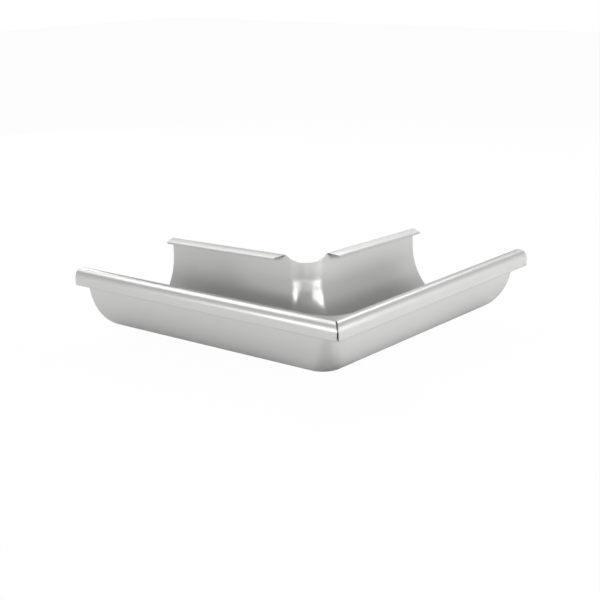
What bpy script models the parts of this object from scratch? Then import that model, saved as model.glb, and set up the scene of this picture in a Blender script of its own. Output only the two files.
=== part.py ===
"""External angle for a half-round steel gutter, pressed from one piece of sheet.

The sheet is modelled as an open surface half a leg wide, from the mitre plane to
the end of one leg. Every line of it runs round the corner on its own radius, so
the trough keeps its half-round section along the legs and turns through a drawn,
double-curved corner. Mirror makes the other leg and Solidify gives the sheet its
thickness.

Lengths are in metres and +Z is up. The legs run along +X and +Y, and the origin
is under the middle of the part. Run with: blender --background --python part.py
"""

import math

import bmesh
import bpy
from mathutils import Matrix, Vector

# Sheet and trough
SHEET_THICKNESS = 0.0007
TROUGH_RADIUS = 0.0625          # inside radius of the half-round
LEG_LENGTH = 0.3310             # outer face of one bead to the open end of the other leg

# Bead rolled outwards along the front edge
BEAD_WIDTH = 0.0180             # from its outer face to the inner face of the wall
BEAD_HEIGHT = 0.0168
BEAD_RISE = 0.0133              # top of the bead over the centre line of the half-round
BEAD_SHOULDER_RADIUS = 0.0083   # outside radius from the wall into the top
BEAD_BROW_RADIUS = 0.0076       # outside radius from the top into the upright face
BEAD_HEEL_RADIUS = 0.0016       # outside radius from the face into the flat underside
BEAD_CURL_RADIUS = 0.0022       # turned-up free edge, middle of the sheet
BEAD_CURL_ANGLE = 60.0
BEAD_EDGE_GAP = 0.0005          # free edge to the wall
SLIT_WIDTH_TOP = 0.0011         # mitre slit where it starts on top of the bead
SLIT_WIDTH_BOTTOM = 0.0019      # mitre slit at the free edge

# Back edge, with a sloping flange and an open hem
BACK_RISE = 0.0190              # top of the back edge over the centre line, at a leg's end
CORNER_LIFT = 0.0030            # how much higher the back edge is beside the corner
FLANGE_BEND_RADIUS = 0.0012     # middle of the sheet
FLANGE_SLOPE = 19.5             # degrees below level, falling into the gutter
FLANGE_WIDTH = 0.0101           # back face to the front of the hem
HEM_RADIUS = 0.0011             # middle of the sheet
HEM_RETURN = 0.0040
FLANGE_SETBACK = 0.0012         # start of the flange past the end of the corner radius
FLANGE_CUT_ANGLE = 40.0         # slope of the cut across the end of the flange

# Drawn corner: plan radii of the sheet at stations round the trough
CORNER_RADIUS_TOP = 0.0275      # top edge of the back wall
CORNER_RADIUS_BACK = 0.0265     # foot of the back wall
CORNER_RADIUS_NECK = 0.0240     # just under the back wall
CORNER_RADIUS_FLANK = 0.0275    # flank under the inner corner
CORNER_RADIUS_FLOOR = 0.0170    # front half of the floor
CORNER_RADIUS_FRONT = 0.0220    # front wall
NECK_STATION = 10.0             # degrees round the trough from the back wall
FLANK_STATION = 42.0
FLOOR_STATION = 115.0
CORNER_EDGE_DIP = 0.0058        # dip of the plain top edge between the flanges
DIP_SHARPNESS = 2.5             # 2 is a parabola, more is flatter with steeper ends

# Fineness
CORNER_SEGMENTS = 12            # from the mitre plane to the end of the corner radius
TROUGH_SEGMENTS = 36
BEAD_SEGMENTS = 7               # in each wide quarter of the bead
HEEL_SEGMENTS = 4
CURL_SEGMENTS = 4
WALL_SEGMENTS = 3
BEND_SEGMENTS = 5
HEM_SEGMENTS = 8

HALF_SHEET = SHEET_THICKNESS / 2
TROUGH_MID_RADIUS = TROUGH_RADIUS + HALF_SHEET
FRONT_INSET = BEAD_WIDTH - HALF_SHEET                   # middle of the front wall
TROUGH_INSET = FRONT_INSET + TROUGH_MID_RADIUS          # centre line of the half-round
BACK_INSET = TROUGH_INSET + TROUGH_MID_RADIUS           # middle of the back wall
CENTRE_HEIGHT = TROUGH_RADIUS + SHEET_THICKNESS         # centre line over the underside
BACK_EDGE_HEIGHT = CENTRE_HEIGHT + BACK_RISE - HALF_SHEET - FLANGE_BEND_RADIUS
FRONT_CORNER_CENTRE = FRONT_INSET + CORNER_RADIUS_FRONT
FLANGE_START = BACK_INSET + CORNER_RADIUS_TOP + FLANGE_SETBACK


def arc(centre, radius, start, end, segments):
    """Points of an arc in the section plane, as (inset, height), angles in degrees."""
    points = []
    for step in range(segments + 1):
        angle = math.radians(start + (end - start) * step / segments)
        points.append((centre[0] + radius * math.cos(angle), centre[1] + radius * math.sin(angle)))
    return points


def smooth_blend(low, high, fraction):
    """Value between low and high that leaves and meets both without a kink."""
    return low + (high - low) * fraction * fraction * (3 - 2 * fraction)


def corner_radius(station):
    """Plan radius of the sheet at a station, in degrees round the trough from the back."""
    lines = (
        (0.0, CORNER_RADIUS_BACK),
        (NECK_STATION, CORNER_RADIUS_NECK),
        (FLANK_STATION, CORNER_RADIUS_FLANK),
        (FLOOR_STATION, CORNER_RADIUS_FLOOR),
        (180.0, CORNER_RADIUS_FRONT),
    )
    for (start, before), (end, after) in zip(lines, lines[1:]):
        if station <= end:
            return smooth_blend(before, after, (station - start) / (end - start))
    return CORNER_RADIUS_FRONT


def rounded_row(inset, radius, heights):
    """A line of the sheet that turns the corner on a radius, mitre plane to leg end."""
    centre = inset + radius
    plan = arc((centre, centre), radius, 225.0, 270.0, CORNER_SEGMENTS)
    plan += [(centre + FLANGE_SETBACK, inset), (LEG_LENGTH, inset)]
    return [Vector((x, y, z)) for (x, y), z in zip(plan, heights)]


def level_row(inset, radius, height):
    """A rounded line of the sheet that stays at one height."""
    return rounded_row(inset, radius, [height] * (CORNER_SEGMENTS + 3))


def mitred_row(inset, height, half_gap):
    """A line of the bead that runs straight into the mitre and stops at the slit."""
    start = inset + half_gap * math.sqrt(2)
    row = []
    for step in range(CORNER_SEGMENTS + 1):
        along = start + (FRONT_CORNER_CENTRE - start) * step / CORNER_SEGMENTS
        row.append(Vector((along, inset, height)))
    row.append(Vector((FRONT_CORNER_CENTRE + FLANGE_SETBACK, inset, height)))
    row.append(Vector((LEG_LENGTH, inset, height)))
    return row


def back_lift(along):
    """Extra height of the back edge at a distance along the leg."""
    return CORNER_LIFT * (LEG_LENGTH - along) / (LEG_LENGTH - FLANGE_START)


def back_edge_heights():
    """Heights of the top of the back wall, dipping between the two flanges."""
    high = BACK_EDGE_HEIGHT + CORNER_LIFT
    heights = []
    for step in range(CORNER_SEGMENTS + 1):
        fraction = step / CORNER_SEGMENTS
        heights.append(high - CORNER_EDGE_DIP * (1 - fraction ** DIP_SHARPNESS))
    return heights + [high, BACK_EDGE_HEIGHT]


def back_wall_rows():
    """Straight back wall, from its top edge down to the half-round."""
    rows = []
    for step in range(WALL_SEGMENTS):
        share = 1 - step / WALL_SEGMENTS
        radius = CORNER_RADIUS_BACK + share * (CORNER_RADIUS_TOP - CORNER_RADIUS_BACK)
        heights = [CENTRE_HEIGHT + share * (top - CENTRE_HEIGHT) for top in back_edge_heights()]
        rows.append(rounded_row(BACK_INSET, radius, heights))
    return rows


def trough_rows():
    """Half-round trough, from the back wall under to the front wall."""
    rows = []
    for step in range(TROUGH_SEGMENTS + 1):
        station = 180.0 * step / TROUGH_SEGMENTS
        angle = math.radians(-station)
        inset = TROUGH_INSET + TROUGH_MID_RADIUS * math.cos(angle)
        height = CENTRE_HEIGHT + TROUGH_MID_RADIUS * math.sin(angle)
        rows.append(level_row(inset, corner_radius(station), height))
    return rows


def bead_shoulder_rows():
    """Front wall bending outwards into the top of the bead, round one corner centre."""
    radius = BEAD_SHOULDER_RADIUS - HALF_SHEET
    centre = (FRONT_INSET - radius, CENTRE_HEIGHT + BEAD_RISE - HALF_SHEET - radius)
    rows = []
    for inset, height in arc(centre, radius, 0.0, 90.0, BEAD_SEGMENTS):
        rows.append(level_row(inset, FRONT_CORNER_CENTRE - inset, height))
    return rows


def bead_roll_profile():
    """Section of the bead from its top, down the face and under to the free edge."""
    brow = BEAD_BROW_RADIUS - HALF_SHEET
    heel = BEAD_HEEL_RADIUS - HALF_SHEET
    top = CENTRE_HEIGHT + BEAD_RISE - HALF_SHEET
    bottom = top - BEAD_HEIGHT + SHEET_THICKNESS
    curl = FRONT_INSET - SHEET_THICKNESS - BEAD_EDGE_GAP - BEAD_CURL_RADIUS
    profile = arc((HALF_SHEET + brow, top - brow), brow, 90.0, 180.0, BEAD_SEGMENTS)
    profile += arc((HALF_SHEET + heel, bottom + heel), heel, 180.0, 270.0, HEEL_SEGMENTS)
    profile += arc(
        (curl, bottom + BEAD_CURL_RADIUS), BEAD_CURL_RADIUS, 270.0, 270.0 + BEAD_CURL_ANGLE, CURL_SEGMENTS
    )
    return profile


def bead_roll_rows():
    """Mitred outer part of the bead, with the slit opening towards its free edge."""
    profile = bead_roll_profile()
    rows = [mitred_row(*profile[0], 0.0)]
    for index, (inset, height) in enumerate(profile[1:]):
        share = index / (len(profile) - 2)
        width = SLIT_WIDTH_TOP + (SLIT_WIDTH_BOTTOM - SLIT_WIDTH_TOP) * share
        rows.append(mitred_row(inset, height, width / 2))
    return rows


def flange_profile():
    """Section of the flange from the back wall to the free edge of the hem.

    Each point is (inset, height over the wall's top edge, distance along the sheet).
    """
    bend_centre = (BACK_INSET - FLANGE_BEND_RADIUS, 0.0)
    bend = arc(bend_centre, FLANGE_BEND_RADIUS, 0.0, 90.0 + FLANGE_SLOPE, BEND_SEGMENTS)
    hem_inset = BACK_INSET + HALF_SHEET - FLANGE_WIDTH + HALF_SHEET + HEM_RADIUS
    slope = math.radians(FLANGE_SLOPE)
    flat = (bend[-1][0] - (hem_inset - HEM_RADIUS * math.sin(slope))) / math.cos(slope)
    hem_top = (bend[-1][0] - flat * math.cos(slope), bend[-1][1] - flat * math.sin(slope))
    hem_centre = (hem_top[0] + HEM_RADIUS * math.sin(slope), hem_top[1] - HEM_RADIUS * math.cos(slope))
    hem = arc(hem_centre, HEM_RADIUS, 90.0 + FLANGE_SLOPE, 270.0 + FLANGE_SLOPE, HEM_SEGMENTS)
    free_edge = (hem[-1][0] + HEM_RETURN * math.cos(slope), hem[-1][1] + HEM_RETURN * math.sin(slope))

    profile = []
    distance = 0.0
    previous = bend[0]
    for point in bend + hem + [free_edge]:
        distance += math.dist(previous, point)
        profile.append((*point, distance))
        previous = point
    return profile


def flange_rows():
    """Flange and hem along the straight leg, with the cut across their inner end."""
    rows = []
    cut_run = math.tan(math.radians(FLANGE_CUT_ANGLE))
    for inset, rise, distance in flange_profile():
        row = []
        for along in (FLANGE_START + distance * cut_run, LEG_LENGTH):
            row.append(Vector((along, inset, BACK_EDGE_HEIGHT + rise + back_lift(along))))
        rows.append(row)
    return rows


def add_row(bm, points):
    """Vertices of one line of the sheet."""
    return [bm.verts.new(point) for point in points]


def join_rows(bm, first, second):
    """Skin of quads between two lines of the sheet."""
    for index in range(len(first) - 1):
        bm.faces.new((first[index], first[index + 1], second[index + 1], second[index]))


def sheet_mesh():
    """Open surface of one leg and its half of the corner, mitre plane on local YZ."""
    bm = bmesh.new()
    lines = back_wall_rows() + trough_rows() + bead_shoulder_rows() + bead_roll_rows()
    rows = [add_row(bm, line) for line in lines]
    for upper, lower in zip(rows, rows[1:]):
        join_rows(bm, upper, lower)

    outer = rows[0][-2:]
    for line in flange_rows()[1:]:
        inner = add_row(bm, line)
        join_rows(bm, inner, outer)
        outer = inner

    for face in bm.faces:
        face.smooth = True
    bm.transform(Matrix.Rotation(math.radians(45.0), 4, "Z"))
    mesh = bpy.data.meshes.new("gutter_angle")
    bm.to_mesh(mesh)
    bm.free()
    return mesh


def coated_steel():
    """Light silver-grey coating on steel sheet."""
    material = bpy.data.materials.new("coated_steel")
    material.use_nodes = True
    shader = material.node_tree.nodes["Principled BSDF"]
    shader.inputs["Base Color"].default_value = (0.56, 0.56, 0.55, 1.0)
    shader.inputs["Metallic"].default_value = 0.6
    shader.inputs["Roughness"].default_value = 0.3
    return material


def add_gutter_angle(collection):
    """The finished part: one leg mirrored at the mitre plane and given its thickness."""
    part = bpy.data.objects.new("gutter_angle", sheet_mesh())
    part.data.materials.append(coated_steel())
    part.location = (-LEG_LENGTH / 2, -LEG_LENGTH / 2, 0.0)
    part.rotation_euler.z = math.radians(-45.0)
    collection.objects.link(part)

    mirror = part.modifiers.new("Mirror", "MIRROR")
    mirror.use_axis = (True, False, False)
    mirror.merge_threshold = 0.00001

    thickness = part.modifiers.new("Solidify", "SOLIDIFY")
    thickness.thickness = SHEET_THICKNESS
    thickness.offset = 0.0
    thickness.use_even_offset = True

    part.modifiers.new("Weighted Normal", "WEIGHTED_NORMAL")
    return part


def main():
    """Empty the scene and build the part in a collection of its own."""
    for old in list(bpy.data.objects):
        bpy.data.objects.remove(old)
    collection = bpy.data.collections.new("gutter_external_angle")
    bpy.context.scene.collection.children.link(collection)
    add_gutter_angle(collection)


main()
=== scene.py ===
"""Coated steel external angle for a half-round gutter, dressed for a studio photograph.

The sheet of the part is drawn again with fine steps, so that the long reflections
in its coating run without facets, and its cut edges are broken as a press leaves
them. It follows the same bends as the solid part and stays in the same place.

Lengths are in metres and +Z is up. The legs run along +X and +Y.
"""

import math

import bmesh
import bpy
from bpy.props import FloatProperty, FloatVectorProperty, PointerProperty
from mathutils import Matrix, Vector


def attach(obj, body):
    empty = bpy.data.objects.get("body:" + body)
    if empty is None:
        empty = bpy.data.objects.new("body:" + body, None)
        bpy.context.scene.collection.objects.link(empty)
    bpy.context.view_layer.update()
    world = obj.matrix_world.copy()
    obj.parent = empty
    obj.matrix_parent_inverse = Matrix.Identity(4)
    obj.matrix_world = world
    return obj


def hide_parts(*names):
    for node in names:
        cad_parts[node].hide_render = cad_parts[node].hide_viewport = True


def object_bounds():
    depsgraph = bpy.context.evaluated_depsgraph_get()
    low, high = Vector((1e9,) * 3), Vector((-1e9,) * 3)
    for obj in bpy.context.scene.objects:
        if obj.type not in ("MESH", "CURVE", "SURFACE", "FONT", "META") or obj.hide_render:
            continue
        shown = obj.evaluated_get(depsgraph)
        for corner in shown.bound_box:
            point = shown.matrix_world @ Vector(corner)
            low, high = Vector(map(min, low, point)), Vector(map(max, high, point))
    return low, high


bl_info = {
    "name": "Gutter External Angle",
    "version": (1, 0, 0),
    "blender": (4, 5, 0),
    "location": "3D View > Sidebar > Gutter",
    "description": "Half-round gutter corner in coated steel, with its studio",
    "category": "Add Mesh",
}

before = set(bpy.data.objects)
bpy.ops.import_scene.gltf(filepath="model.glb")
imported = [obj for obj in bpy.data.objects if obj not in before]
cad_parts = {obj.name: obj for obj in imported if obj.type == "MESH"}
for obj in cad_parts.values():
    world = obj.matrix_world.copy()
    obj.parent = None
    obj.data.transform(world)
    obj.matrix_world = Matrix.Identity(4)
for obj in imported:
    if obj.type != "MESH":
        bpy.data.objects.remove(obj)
CAD_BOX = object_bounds()

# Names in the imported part
BODY = "root"
CAD_NODE = "gutter_angle"

# Fineness of the sheet
CORNER_STEPS = 40               # from the mitre plane to the end of the corner radius
TROUGH_STEPS = 108
BEAD_STEPS = 22                 # in each wide quarter of the bead
FACE_STEPS = 8
HEEL_STEPS = 10
CURL_STEPS = 8
WALL_STEPS = 4
BEND_STEPS = 10
HEM_STEPS = 14
SHADE_SAMPLES = 8               # rays that feel out creases and the floor's shade

# Noises in the finishes: waves to the metre, detail
CLOUD = (22.0, 3.0)
FLAKE = (5200.0, 1.0)
PEEL = (620.0, 1.5)
SMEAR = (900.0, 2.0)

DIP_SHARPNESS = 2.5             # how late the plain back edge rises to the flanges
SHARP_EDGE = math.radians(55.0)
WELD_DISTANCE = 0.00001
FLOOR_SIZE = 4.0                # from the middle to each side
FLOOR_GAP = 0.0002              # under the part, so that the two never touch
LAMP_AIM = Vector((0.0, 0.0, 0.05))
SENSOR_WIDTH = 36.0

WHITE = (1.0, 1.0, 1.0, 1.0)
BLACK = (0.0, 0.0, 0.0, 1.0)
# Near-black of the painted shade in the coating's tight creases
CREASE_SHADE_COLOUR = (0.02, 0.02, 0.02, 1.0)


def length(name, description, default):
    """A length of the part, shown in Blender's own units."""
    return FloatProperty(
        name=name, description=description, default=default, min=0.0, precision=5,
        subtype="DISTANCE", unit="LENGTH",
    )


def angle(name, description, degrees):
    """An angle of the part or the camera."""
    return FloatProperty(
        name=name, description=description, default=math.radians(degrees), precision=3,
        subtype="ANGLE", unit="ROTATION",
    )


def share(name, description, default, top=1.0):
    """A plain number from nothing upwards, such as a weight or a roughness."""
    return FloatProperty(
        name=name, description=description, default=default, min=0.0, max=top, precision=4,
    )


def colour(name, description, default):
    """A linear colour."""
    return FloatVectorProperty(
        name=name, description=description, default=default, min=0.0, max=1.0,
        size=3, subtype="COLOR",
    )


def place(name, description, default):
    """A point in the scene."""
    return FloatVectorProperty(
        name=name, description=description, default=default, size=3, precision=4,
        subtype="TRANSLATION", unit="LENGTH",
    )


class SheetSizes(bpy.types.PropertyGroup):
    """Sheet and half-round trough."""

    thickness: length("Sheet Thickness", "Thickness of the coated sheet", 0.0007)
    trough_radius: length("Trough Radius", "Inside radius of the half-round", 0.0625)
    leg_length: length("Leg Length", "Outer face of one bead to the other leg's end", 0.3310)
    edge_break: length("Edge Break", "Rounding of the cut edges", 0.00012)


class BeadSizes(bpy.types.PropertyGroup):
    """Bead rolled outwards along the front edge."""

    width: length("Bead Width", "Outer face of the bead to the inside of the wall", 0.0180)
    height: length("Bead Height", "Top of the bead to its underside", 0.0168)
    rise: length("Bead Rise", "Top of the bead over the centre line of the trough", 0.0133)
    shoulder: length("Shoulder Radius", "Outside radius from the wall into the top", 0.0083)
    brow: length("Brow Width", "Across the rounding from the top into the face", 0.0076)
    brow_drop: length("Brow Drop", "Down the rounding from the top into the face", 0.0092)
    tuck: length("Face Tuck", "How far the foot of the upright face draws in", 0.00015)
    heel: length("Heel Radius", "Outside radius from the face into the underside", 0.0016)
    curl_radius: length("Curl Radius", "Radius of the turned-up free edge", 0.0022)
    curl_angle: angle("Curl Angle", "How far the free edge turns up", 60.0)
    edge_gap: length("Edge Gap", "Free edge of the bead to the wall", 0.0005)
    slit_top: length("Slit on Top", "Width of the mitre slit where it starts", 0.0011)
    slit_bottom: length("Slit at the Edge", "Width of the mitre slit at the free edge", 0.0019)


class BackEdgeSizes(bpy.types.PropertyGroup):
    """Back wall's top edge, with its sloping flange and open hem."""

    rise: length("Back Rise", "Back edge over the trough's centre line at a leg's end", 0.0190)
    corner_lift: length("Corner Lift", "Extra height of the back edge at the corner", 0.0030)
    bend_radius: length("Bend Radius", "Bend of the flange, middle of the sheet", 0.0012)
    slope: angle("Flange Slope", "Fall of the flange into the gutter", 19.5)
    width: length("Flange Width", "Back face to the front of the hem", 0.0101)
    hem_radius: length("Hem Radius", "Fold of the hem, middle of the sheet", 0.0011)
    hem_return: length("Hem Return", "Length folded back under the flange", 0.0040)
    setback: length("Flange Setback", "Start of the flange past the corner radius", 0.0012)
    cut_angle: angle("Flange Cut", "Slope of the cut across the flange's end", 40.0)
    edge_dip: length("Edge Dip", "Dip of the plain edge between the flanges", 0.0058)


class CornerSizes(bpy.types.PropertyGroup):
    """Plan radii of the drawn corner at stations round the trough."""

    top: length("Top Radius", "Plan radius at the top edge of the back wall", 0.0275)
    back: length("Back Radius", "Plan radius at the foot of the back wall", 0.0265)
    neck: length("Neck Radius", "Plan radius just under the back wall", 0.0240)
    flank: length("Flank Radius", "Plan radius low in the inner corner", 0.0275)
    floor: length("Floor Radius", "Plan radius in the front half of the floor", 0.0170)
    front: length("Front Radius", "Plan radius of the front wall", 0.0220)
    neck_station: angle("Neck Station", "Place of the neck radius round the trough", 10.0)
    flank_station: angle("Flank Station", "Place of the flank radius round the trough", 42.0)
    floor_station: angle("Floor Station", "Place of the floor radius round the trough", 115.0)


class CoatingFinish(bpy.types.PropertyGroup):
    """Silver-grey coating with a clear gloss, and the bare steel of the cut edges."""

    base: colour("Coating Colour", "Silver-grey of the coating", (0.62, 0.62, 0.605))
    bare_steel: colour("Cut Edge Colour", "Zinc and steel at the cut edges", (0.46, 0.46, 0.45))
    metallic: share("Metallic", "How metallic the coating's pigment looks", 0.35)
    roughness: share("Roughness", "Roughness under the gloss", 0.30)
    gloss: share("Gloss", "Weight of the clear gloss over the pigment", 0.50)
    gloss_roughness: share("Gloss Roughness", "Roughness of the clear gloss", 0.06)
    peel: length("Orange Peel", "Height of the coating's fine waves", 0.000004)
    # Painted shade: how dark and how wide the coating is darkened in tight creases, where shade falls
    crease_shade: share("Crease Shade", "How dark dirt and shade make the tight creases", 0.75)
    crease_reach: length("Crease Reach", "Width of a crease that gathers dirt and shade", 0.005)


class StudioSettings(bpy.types.PropertyGroup):
    """White floor and surroundings, their dimmer look in reflections, and the camera."""

    floor: colour("Floor Colour", "Pale floor", (0.90, 0.90, 0.90))
    floor_white: share("Floor White", "How far the floor looks plain white to the camera", 0.975)
    floor_gleam: share("Floor Gleam", "Brightness of the open floor in reflections", 0.411)
    # Painted shade near the part, and a painted shadow and a painted pool of light on the floor, all
    # seen only in reflections
    floor_shade: share("Floor Shade", "Brightness in reflections of the floor by the part", 0.226)
    shade_reach: length("Shade Reach", "How far the part shades the floor in reflections", 0.12)
    painted_shadow_patch: share("Dull Patch", "How dark the floor before the corner is in reflections", 0.9)
    painted_light_patch: share("Bright Patch", "How much brighter the floor by the right leg is in them", 0.22)
    surround: share("Surround", "Strength of the surroundings' light", 0.0)
    surround_gleam: share("Surround Gleam", "Brightness of the surroundings in reflections", 0.03)
    lamp_distance: length("Lamp Distance", "From the middle of the part to each lamp", 1.5)
    camera_place: place("Camera Place", "Where the camera stands", (-1.01340, -0.80147, 0.39635))
    yaw: angle("Camera Yaw", "Direction of view from +X towards +Y", 38.604)
    pitch: angle("Camera Pitch", "How far the view points down", 15.687)
    roll: angle("Camera Roll", "Lean of the camera", -0.842)
    focal: share("Focal Length", "Focal length in millimetres on a 36 mm sensor", 77.645, 500.0)


class Wire:
    """Output of a node, which adds Math nodes when it is used in an expression."""

    def __init__(self, recipe, socket):
        self.recipe = recipe
        self.socket = socket

    def _math(self, operation, first, second):
        """New Math node on two values, each a Wire or a number."""
        return self.recipe.node("ShaderNodeMath", {"operation": operation}, {0: first, 1: second})

    def __add__(self, other):
        return self._math("ADD", self, other)

    def __radd__(self, other):
        return self._math("ADD", other, self)

    def __sub__(self, other):
        return self._math("SUBTRACT", self, other)

    def __rsub__(self, other):
        return self._math("SUBTRACT", other, self)

    def __mul__(self, other):
        return self._math("MULTIPLY", self, other)

    def __rmul__(self, other):
        return self._math("MULTIPLY", other, self)


class Recipe:
    """Node tree of one material or world, built up node by node."""

    def __init__(self, owner):
        owner.use_nodes = True
        self.tree = owner.node_tree
        self.tree.nodes.clear()

    def node(self, kind, settings=None, inputs=None, output=0):
        """New node of a type, with its settings made first and then its sockets fed."""
        node = self.tree.nodes.new(kind)
        for name, value in (settings or {}).items():
            setattr(node, name, value)
        for name, value in (inputs or {}).items():
            if isinstance(value, Wire):
                self.tree.links.new(value.socket, node.inputs[name])
            else:
                node.inputs[name].default_value = value
        return Wire(self, node.outputs[output]) if node.outputs else None

    def noise(self, points, scale, detail):
        """Soft noise round a half, at so many waves to the metre."""
        return self.node(
            "ShaderNodeTexNoise", {"noise_dimensions": "3D"},
            {"Vector": points, "Scale": scale, "Detail": detail},
        )

    def step(self, value, low, high):
        """Smooth change from 0 to 1 while a value goes from low to high."""
        return self.node(
            "ShaderNodeMapRange", {"interpolation_type": "SMOOTHSTEP"},
            {"Value": value, "From Min": low, "From Max": high},
        )

    def blend(self, factor, first, second):
        """Mix of two colours."""
        return self.node(
            "ShaderNodeMix", {"data_type": "RGBA"}, {0: factor, 6: first, 7: second}, output=2,
        )

    def open_air(self, reach, only_local=False):
        """How open a point is within a reach: 1 in the open, less in a crease or near the part."""
        return self.node(
            "ShaderNodeAmbientOcclusion", {"samples": SHADE_SAMPLES, "only_local": only_local},
            {"Distance": reach}, output="AO",
        )

    def mix(self, factor, first, second):
        """Mix of two shaders."""
        return self.node("ShaderNodeMixShader", None, {0: factor, 1: first, 2: second})


def opaque(rgb):
    """Colour with its alpha, as a shader's socket takes it."""
    return (*rgb, 1.0)


def coated_steel(finish):
    """Silver-grey coil coating: fine flake, faint clouds, shallow orange peel, painted shade in the
    creases.
    """
    material = bpy.data.materials.new("coated_steel")
    recipe = Recipe(material)
    points = recipe.node("ShaderNodeTexCoord", output="Object")
    cloud = recipe.noise(points, *CLOUD)
    flake = recipe.noise(points, *FLAKE)
    peel = recipe.noise(points, *PEEL)

    base = Vector(finish.base)
    pale = recipe.blend(cloud, opaque(base * 0.985), opaque(base * 1.015))
    tone = recipe.blend(recipe.step(flake, 0.25, 0.75), opaque(base * 0.97), opaque(base * 1.03))
    coat = recipe.blend(0.5, pale, tone)
    # Painted shade: the base colour darkens towards near-black in tight creases found by ambient
    # occlusion
    open_air = recipe.open_air(finish.crease_reach, only_local=True)
    crease = finish.crease_shade * (1.0 - recipe.step(open_air, 0.35, 0.95))
    tint = recipe.blend(crease, coat, CREASE_SHADE_COLOUR)
    roughness = finish.roughness - 0.03 + 0.06 * cloud
    bump = recipe.node("ShaderNodeBump", None, {
        "Strength": 1.0, "Distance": finish.peel, "Height": peel,
    })
    shader = recipe.node("ShaderNodeBsdfPrincipled", None, {
        "Base Color": tint,
        "Metallic": finish.metallic,
        "Roughness": roughness,
        "Coat Weight": finish.gloss,
        "Coat Roughness": finish.gloss_roughness,
        "Normal": bump,
    })
    recipe.node("ShaderNodeOutputMaterial", None, {"Surface": shader})
    return material


def cut_edge(finish):
    """Sheared edge of the sheet: bare steel dulled by a smear of zinc."""
    material = bpy.data.materials.new("cut_edge")
    recipe = Recipe(material)
    points = recipe.node("ShaderNodeTexCoord", output="Object")
    smear = recipe.noise(points, *SMEAR)
    steel = Vector(finish.bare_steel)
    tint = recipe.blend(recipe.step(smear, 0.35, 0.7), opaque(steel * 0.9), opaque(steel * 1.15))
    shader = recipe.node("ShaderNodeBsdfPrincipled", None, {
        "Base Color": tint,
        "Metallic": 0.9,
        "Roughness": 0.36 + 0.14 * smear,
    })
    recipe.node("ShaderNodeOutputMaterial", None, {"Surface": shader})
    return material


def arc(centre, radius, start, end, steps, upright=None):
    """Points of an arc in the section plane, as (inset, height), angles in radians.

    With an upright radius too it is part of an ellipse.
    """
    points = []
    for step in range(steps + 1):
        turn = start + (end - start) * step / steps
        inset = centre[0] + radius * math.cos(turn)
        points.append((inset, centre[1] + (upright or radius) * math.sin(turn)))
    return points


def smooth_blend(low, high, fraction):
    """Value between low and high that leaves and meets both without a kink."""
    return low + (high - low) * fraction * fraction * (3 - 2 * fraction)


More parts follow.
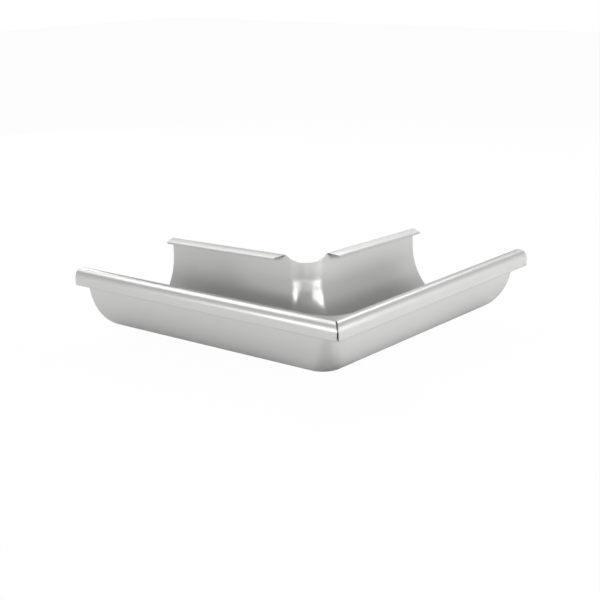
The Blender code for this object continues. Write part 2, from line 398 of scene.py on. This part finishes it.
class SheetPlan:
    """Lines of the sheet, half a leg wide, worked out from the sizes."""

    def __init__(self, sheet, bead, back, corner):
        self.bead = bead
        self.back = back
        self.corner = corner
        self.thickness = sheet.thickness
        self.half = sheet.thickness / 2
        self.leg = sheet.leg_length
        self.mid_radius = sheet.trough_radius + self.half
        self.front_inset = bead.width - self.half
        self.trough_inset = self.front_inset + self.mid_radius
        self.back_inset = self.trough_inset + self.mid_radius
        self.centre_height = sheet.trough_radius + sheet.thickness
        self.edge_height = self.centre_height + back.rise - self.half - back.bend_radius
        self.corner_centre = self.front_inset + corner.front
        self.flange_start = self.back_inset + corner.top + back.setback

    def corner_radius(self, station):
        """Plan radius of the sheet at an angle round the trough from the back wall."""
        corner = self.corner
        lines = (
            (0.0, corner.back),
            (corner.neck_station, corner.neck),
            (corner.flank_station, corner.flank),
            (corner.floor_station, corner.floor),
            (math.pi, corner.front),
        )
        for (start, before), (end, after) in zip(lines, lines[1:]):
            if station <= end:
                return smooth_blend(before, after, (station - start) / (end - start))
        return corner.front

    def rounded_row(self, inset, radius, heights):
        """A line that turns the corner on a radius, from the mitre plane to the leg's end."""
        centre = inset + radius
        plan = arc((centre, centre), radius, 1.25 * math.pi, 1.5 * math.pi, CORNER_STEPS)
        plan += [(centre + self.back.setback, inset), (self.leg, inset)]
        return [Vector((x, y, z)) for (x, y), z in zip(plan, heights)]

    def level_row(self, inset, radius, height):
        """A rounded line that stays at one height."""
        return self.rounded_row(inset, radius, [height] * (CORNER_STEPS + 3))

    def mitred_row(self, inset, height, half_gap):
        """A line of the bead that runs straight to the mitre and stops at the slit."""
        start = inset + half_gap * math.sqrt(2)
        row = []
        for step in range(CORNER_STEPS + 1):
            along = start + (self.corner_centre - start) * step / CORNER_STEPS
            row.append(Vector((along, inset, height)))
        row.append(Vector((self.corner_centre + self.back.setback, inset, height)))
        row.append(Vector((self.leg, inset, height)))
        return row

    def back_lift(self, along):
        """Extra height of the back edge at a distance along the leg."""
        return self.back.corner_lift * (self.leg - along) / (self.leg - self.flange_start)

    def back_edge_heights(self):
        """Heights of the back wall's top edge, dipping between the two flanges."""
        high = self.edge_height + self.back.corner_lift
        heights = []
        for step in range(CORNER_STEPS + 1):
            fraction = step / CORNER_STEPS
            heights.append(high - self.back.edge_dip * (1 - fraction ** DIP_SHARPNESS))
        return heights + [high, self.edge_height]

    def back_wall(self):
        """Straight back wall, from its top edge down to the half-round."""
        rows = []
        for step in range(WALL_STEPS):
            rise = 1 - step / WALL_STEPS
            radius = self.corner.back + rise * (self.corner.top - self.corner.back)
            heights = []
            for top in self.back_edge_heights():
                heights.append(self.centre_height + rise * (top - self.centre_height))
            rows.append(self.rounded_row(self.back_inset, radius, heights))
        return rows

    def trough(self):
        """Half-round, from the back wall under to the front wall."""
        rows = []
        for step in range(TROUGH_STEPS + 1):
            station = math.pi * step / TROUGH_STEPS
            inset = self.trough_inset + self.mid_radius * math.cos(station)
            height = self.centre_height - self.mid_radius * math.sin(station)
            rows.append(self.level_row(inset, self.corner_radius(station), height))
        return rows

    def bead_shoulder(self):
        """Front wall bending outwards into the top of the bead."""
        radius = self.bead.shoulder - self.half
        centre = (self.front_inset - radius, self.centre_height + self.bead.rise - self.half - radius)
        rows = []
        for inset, height in arc(centre, radius, 0.0, math.pi / 2, BEAD_STEPS):
            rows.append(self.level_row(inset, self.corner_centre - inset, height))
        return rows

    def bead_profile(self):
        """Section of the bead from its top, down the face and under to the free edge."""
        bead = self.bead
        brow = bead.brow - self.half
        drop = bead.brow_drop - self.half
        heel = bead.heel - self.half
        top = self.centre_height + bead.rise - self.half
        bottom = top - bead.height + self.thickness
        curl = self.front_inset - self.thickness - bead.edge_gap - bead.curl_radius
        face_top = top - drop
        profile = arc((self.half + brow, face_top), brow, 0.5 * math.pi, math.pi, BEAD_STEPS, drop)
        lean = math.atan2(2 * bead.tuck, face_top - bottom - heel)
        face_foot = bottom + heel * (1 - math.sin(lean))
        for step in range(1, FACE_STEPS):
            down = step / FACE_STEPS
            height = face_top + (face_foot - face_top) * down
            profile.append((self.half + bead.tuck * down ** 2, height))
        heel_centre = (self.half + bead.tuck + heel * math.cos(lean), bottom + heel)
        profile += arc(heel_centre, heel, math.pi + lean, 1.5 * math.pi, HEEL_STEPS)
        curl_centre = (curl, bottom + bead.curl_radius)
        curl_end = 1.5 * math.pi + bead.curl_angle
        profile += arc(curl_centre, bead.curl_radius, 1.5 * math.pi, curl_end, CURL_STEPS)
        return profile

    def bead_roll(self):
        """Mitred outer part of the bead, with the slit opening towards its free edge."""
        profile = self.bead_profile()
        rows = [self.mitred_row(*profile[0], 0.0)]
        for index, (inset, height) in enumerate(profile[1:]):
            fraction = index / (len(profile) - 2)
            width = self.bead.slit_top + (self.bead.slit_bottom - self.bead.slit_top) * fraction
            rows.append(self.mitred_row(inset, height, width / 2))
        return rows

    def flange_profile(self):
        """Section of the flange, as (inset, height over the wall's edge, distance along it)."""
        back = self.back
        level, fall = math.cos(back.slope), math.sin(back.slope)
        bend_centre = (self.back_inset - back.bend_radius, 0.0)
        over = 0.5 * math.pi + back.slope
        bend = arc(bend_centre, back.bend_radius, 0.0, over, BEND_STEPS)
        hem_inset = self.back_inset + self.thickness - back.width + back.hem_radius
        flat = (bend[-1][0] - (hem_inset - back.hem_radius * fall)) / level
        hem_top = (bend[-1][0] - flat * level, bend[-1][1] - flat * fall)
        hem_centre = (hem_top[0] + back.hem_radius * fall, hem_top[1] - back.hem_radius * level)
        hem = arc(hem_centre, back.hem_radius, over, over + math.pi, HEM_STEPS)
        free_edge = (hem[-1][0] + back.hem_return * level, hem[-1][1] + back.hem_return * fall)
        profile = []
        distance = 0.0
        previous = bend[0]
        for point in bend + hem + [free_edge]:
            distance += math.dist(previous, point)
            profile.append((*point, distance))
            previous = point
        return profile

    def flange(self):
        """Flange and hem along the straight leg, with the cut across their inner end."""
        rows = []
        for inset, rise, distance in self.flange_profile():
            row = []
            for along in (self.flange_start + distance * math.tan(self.back.cut_angle), self.leg):
                row.append(Vector((along, inset, self.edge_height + rise + self.back_lift(along))))
            rows.append(row)
        return rows

    def mesh(self):
        """Open surface of the whole sheet."""
        bm = bmesh.new()
        lines = self.back_wall() + self.trough() + self.bead_shoulder() + self.bead_roll()
        rows = [[bm.verts.new(point) for point in line] for line in lines]
        for upper, lower in zip(rows, rows[1:]):
            join_rows(bm, upper, lower)
        outer = rows[0][-2:]
        for line in self.flange()[1:]:
            inner = [bm.verts.new(point) for point in line]
            join_rows(bm, inner, outer)
            outer = inner
        for face in bm.faces:
            face.smooth = True
        add_other_leg(bm)
        bm.transform(Matrix.Translation((-self.leg / 2, -self.leg / 2, 0.0)))
        mesh = bpy.data.meshes.new("gutter_sheet")
        bm.to_mesh(mesh)
        bm.free()
        return mesh


def join_rows(bm, first, second):
    """Skin of quads between two lines of the sheet."""
    for index in range(len(first) - 1):
        bm.faces.new((first[index], first[index + 1], second[index + 1], second[index]))


def add_other_leg(bm):
    """Copy of the first leg with X and Y swapped, welded to it at the mitre."""
    first = bm.verts[:] + bm.edges[:] + bm.faces[:]
    other = bmesh.ops.duplicate(bm, geom=first)["geom"]
    swap = Matrix(((0, 1, 0, 0), (1, 0, 0, 0), (0, 0, 1, 0), (0, 0, 0, 1)))
    verts = [item for item in other if isinstance(item, bmesh.types.BMVert)]
    faces = [item for item in other if isinstance(item, bmesh.types.BMFace)]
    bmesh.ops.transform(bm, matrix=swap, verts=verts)
    bmesh.ops.reverse_faces(bm, faces=faces)
    bmesh.ops.remove_doubles(bm, verts=bm.verts[:], dist=WELD_DISTANCE)


def add_sheet(settings):
    """The pressed sheet, given its thickness and the broken edges of its cuts."""
    plan = SheetPlan(settings.sheet, settings.bead, settings.back, settings.corner)
    sheet = bpy.data.objects.new("gutter_sheet", plan.mesh())
    sheet.data.materials.append(coated_steel(settings.finish))
    sheet.data.materials.append(cut_edge(settings.finish))
    bpy.context.scene.collection.objects.link(sheet)

    thickness = sheet.modifiers.new("Solidify", "SOLIDIFY")
    thickness.thickness = settings.sheet.thickness
    thickness.offset = 0.0
    thickness.use_even_offset = True
    thickness.material_offset_rim = 1

    edges = sheet.modifiers.new("Bevel", "BEVEL")
    edges.width = settings.sheet.edge_break
    edges.segments = 2
    edges.limit_method = "ANGLE"
    edges.angle_limit = SHARP_EDGE
    edges.harden_normals = True
    return sheet


def light_paths(recipe):
    """Whether the ray comes from the camera or through glass, and whether from a reflection."""
    camera = recipe.node("ShaderNodeLightPath", output="Is Camera Ray")
    through = recipe.node("ShaderNodeLightPath", output="Is Transmission Ray")
    mirrored = recipe.node("ShaderNodeLightPath", output="Is Glossy Ray")
    return camera + through, mirrored


# Painted shadow and painted light on the floor in reflections, as soft patches: middle X and Y, turn in
# degrees, half length, half width
PAINTED_SHADOW_PATCH = (-0.155, -0.138, 206.0, 0.140, 0.036)
PAINTED_LIGHT_PATCH = (0.040, -0.150, 0.0, 0.260, 0.060)


def floor_patch(recipe, x, y, turn, half_length, half_width):
    """Soft oval on the floor, 1 in its middle and 0 at its rim."""
    oval = recipe.node("ShaderNodeMapping", {"vector_type": "TEXTURE"}, {
        "Vector": recipe.node("ShaderNodeTexCoord", output="Object"),
        "Location": (x, y, 0.0),
        "Rotation": (0.0, 0.0, math.radians(turn)),
        "Scale": (half_length, half_width, 1.0),
    })
    return recipe.node(
        "ShaderNodeTexGradient", {"gradient_type": "SPHERICAL"}, {"Vector": oval}, output="Fac",
    )


def mirrored_floor(recipe, studio):
    """Grey of the floor in reflections, with painted shade near the part, a painted shadow before the
    corner and a painted pool of light by the right leg.
    """
    # Painted shade: the floor's reflected grey darkens near the part by ambient occlusion
    open_air = recipe.open_air(studio.shade_reach)
    shade = opaque([studio.floor_shade] * 3)
    gleam = recipe.blend(open_air, shade, opaque([studio.floor_gleam] * 3))
    # Painted light: the floor by the right leg is brighter in reflections
    painted_light = studio.painted_light_patch * floor_patch(recipe, *PAINTED_LIGHT_PATCH)
    gleam = recipe.blend(painted_light, gleam, WHITE)
    # Painted shadow: the floor before the corner is darker in reflections
    painted_shadow = studio.painted_shadow_patch * recipe.step(floor_patch(recipe, *PAINTED_SHADOW_PATCH), 0.05, 0.75)
    return recipe.blend(painted_shadow, gleam, BLACK)


def add_floor(studio):
    """Pale floor: nearly white to the camera, with a faint shadow, and grey in reflections."""
    bm = bmesh.new()
    bmesh.ops.create_grid(bm, x_segments=1, y_segments=1, size=FLOOR_SIZE)
    mesh = bpy.data.meshes.new("floor")
    bm.to_mesh(mesh)
    bm.free()
    floor = bpy.data.objects.new("floor", mesh)
    floor.location.z = CAD_BOX[0][2] - FLOOR_GAP
    bpy.context.scene.collection.objects.link(floor)

    material = bpy.data.materials.new("floor_paper")
    material.cycles.emission_sampling = "NONE"
    recipe = Recipe(material)
    seen, mirrored = light_paths(recipe)
    tint = recipe.blend(seen, mirrored_floor(recipe, studio), WHITE)
    lit = recipe.node("ShaderNodeBsdfDiffuse", None, {"Color": opaque(studio.floor)})
    glow = recipe.node("ShaderNodeEmission", None, {"Color": tint, "Strength": 1.0})
    shader = recipe.mix(studio.floor_white * seen + mirrored, lit, glow)
    recipe.node("ShaderNodeOutputMaterial", None, {"Surface": shader})
    mesh.materials.append(material)


def add_surround(studio):
    """White all round for the camera, dark in reflections, as a dim room behind white paper."""
    world = bpy.data.worlds.new("white_surround")
    world.cycles.sampling_method = "NONE"
    bpy.context.scene.world = world
    recipe = Recipe(world)
    seen, mirrored = light_paths(recipe)
    light, gleam, full = (
        recipe.node("ShaderNodeBackground", None, {"Color": WHITE, "Strength": strength})
        for strength in (studio.surround, studio.surround_gleam, 1.0)
    )
    shader = recipe.mix(seen, recipe.mix(mirrored, light, gleam), full)
    recipe.node("ShaderNodeOutputWorld", None, {"Surface": shader})


# Lamps: name, direction from +X towards +Y, height, width and depth in degrees, brightness
LAMPS = (
    ("right_front_near", -91.1, 16.9, 30.5, 24.8, 3.25),
    ("right_front_low", -73.7, 6.6, 23.2, 7.7, 12.62),
    ("right_front_high", -83.8, 28.6, 48.2, 9.6, 1.35),
    ("right_front_far", -66, 17.4, 20, 23.5, 7.60),
    ("left_front_panel", 171, 8, 49, 16, 4.25),
    ("left_front_core", 168, 16, 14, 20, 8.60),
    ("middle_panel", -135, 11, 55.9, 14.9, 1.33),
    ("middle_high", -128.6, 37.3, 85.2, 15.2, 0.45),
    ("middle_strip", -128.5, 3.5, 83.7, 5.6, 3.23),
    ("left_back_high", 100, 49, 48, 19, 3.15),
    ("left_back_low", 72, 13, 31, 27, 4.38),
    ("right_back_panel", 14, 27, 45, 37, 0.66),
    ("right_fill", -50, 10, 60, 17, 0.31),
    ("overhead_panel", 35, 60, 114, 41, 1.83),
    ("right_back_high", 15, 38, 26, 12, 1.37),
)


def add_lamp(studio, name, turn, rise, width, depth, brightness):
    """Rectangular lamp at a bearing, turned to the part, with its size as seen from there.

    Its brightness is what a mirror would show, where 1 is white.
    """
    turn, rise = math.radians(turn), math.radians(rise)
    level = math.cos(rise)
    away = Vector((level * math.cos(turn), level * math.sin(turn), math.sin(rise)))
    data = bpy.data.lights.new(name, "AREA")
    data.shape = "RECTANGLE"
    data.size = 2 * studio.lamp_distance * math.tan(math.radians(width) * level / 2)
    data.size_y = 2 * studio.lamp_distance * math.tan(math.radians(depth) / 2)
    data.energy = math.pi * data.size * data.size_y * brightness
    lamp = bpy.data.objects.new(name, data)
    lamp.location = LAMP_AIM + studio.lamp_distance * away
    lamp.rotation_euler = (-away).to_track_quat("-Z", "Y").to_euler()
    lamp.visible_camera = False
    bpy.context.scene.collection.objects.link(lamp)


def add_lamps(studio):
    """Soft lamps all round, the brightest of them to both sides of the corner."""
    for lamp in LAMPS:
        add_lamp(studio, *lamp)


def add_camera(studio):
    """Camera at the photograph's place, angle and focal length."""
    data = bpy.data.cameras.new("camera")
    data.sensor_width = SENSOR_WIDTH
    data.lens = studio.focal
    camera = bpy.data.objects.new("camera", data)
    heading = Matrix.Rotation(studio.yaw - math.pi / 2, 4, "Z")
    tilt = Matrix.Rotation(math.pi / 2 - studio.pitch, 4, "X")
    lean = Matrix.Rotation(studio.roll, 4, "Z")
    camera.matrix_world = Matrix.Translation(studio.camera_place) @ heading @ tilt @ lean
    bpy.context.scene.collection.objects.link(camera)
    bpy.context.scene.camera = camera


class GUTTER_OT_add_sheet(bpy.types.Operator):
    """Add the pressed, coated sheet of the gutter angle in place of its solid"""

    bl_idname = "gutter.add_sheet"
    bl_label = "Pressed Sheet"
    bl_options = {"REGISTER", "UNDO"}

    def execute(self, context):
        sheet = add_sheet(context.scene.gutter_angle)
        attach(sheet, BODY)
        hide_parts(CAD_NODE)
        return {"FINISHED"}


class GUTTER_OT_add_stage(bpy.types.Operator):
    """Add the floor, the white surroundings, the lamps and the camera"""

    bl_idname = "gutter.add_stage"
    bl_label = "Stage"
    bl_options = {"REGISTER", "UNDO"}

    def execute(self, context):
        studio = context.scene.gutter_angle.studio
        context.scene.view_settings.view_transform = "Standard"
        add_surround(studio)
        add_floor(studio)
        add_lamps(studio)
        add_camera(studio)
        return {"FINISHED"}


class GutterAngleSettings(bpy.types.PropertyGroup):
    """All the sizes and finishes of the gutter angle and its studio."""

    sheet: PointerProperty(type=SheetSizes, name="Sheet", description="Sheet and trough")
    bead: PointerProperty(type=BeadSizes, name="Bead", description="Front bead")
    back: PointerProperty(type=BackEdgeSizes, name="Back Edge", description="Flange and hem")
    corner: PointerProperty(type=CornerSizes, name="Corner", description="Drawn corner")
    finish: PointerProperty(type=CoatingFinish, name="Finish", description="Coating and cut edges")
    studio: PointerProperty(type=StudioSettings, name="Studio", description="Lamps and camera")


class GUTTER_PT_panel(bpy.types.Panel):
    """Sidebar panel with the pieces and their sizes"""

    bl_idname = "GUTTER_PT_panel"
    bl_label = "Gutter Angle"
    bl_space_type = "VIEW_3D"
    bl_region_type = "UI"
    bl_category = "Gutter"

    def draw(self, context):
        layout = self.layout
        for operator in OPERATORS:
            layout.operator(operator.bl_idname)
        settings = context.scene.gutter_angle
        for name in ("sheet", "bead", "back", "corner", "finish", "studio"):
            group = getattr(settings, name)
            box = layout.box()
            box.label(text=name.capitalize())
            for key in group.__annotations__:
                box.prop(group, key)


OPERATORS = (GUTTER_OT_add_sheet, GUTTER_OT_add_stage)
CLASSES = (
    SheetSizes, BeadSizes, BackEdgeSizes, CornerSizes, CoatingFinish, StudioSettings,
    GutterAngleSettings, *OPERATORS, GUTTER_PT_panel,
)


def register():
    for cls in CLASSES:
        bpy.utils.register_class(cls)
    bpy.types.Scene.gutter_angle = PointerProperty(type=GutterAngleSettings)


def unregister():
    del bpy.types.Scene.gutter_angle
    for cls in reversed(CLASSES):
        bpy.utils.unregister_class(cls)


def main():
    """Build the pieces and the stage."""
    register()
    bpy.ops.gutter.add_sheet()
    bpy.ops.gutter.add_stage()


if __name__ == "__main__":
    main()
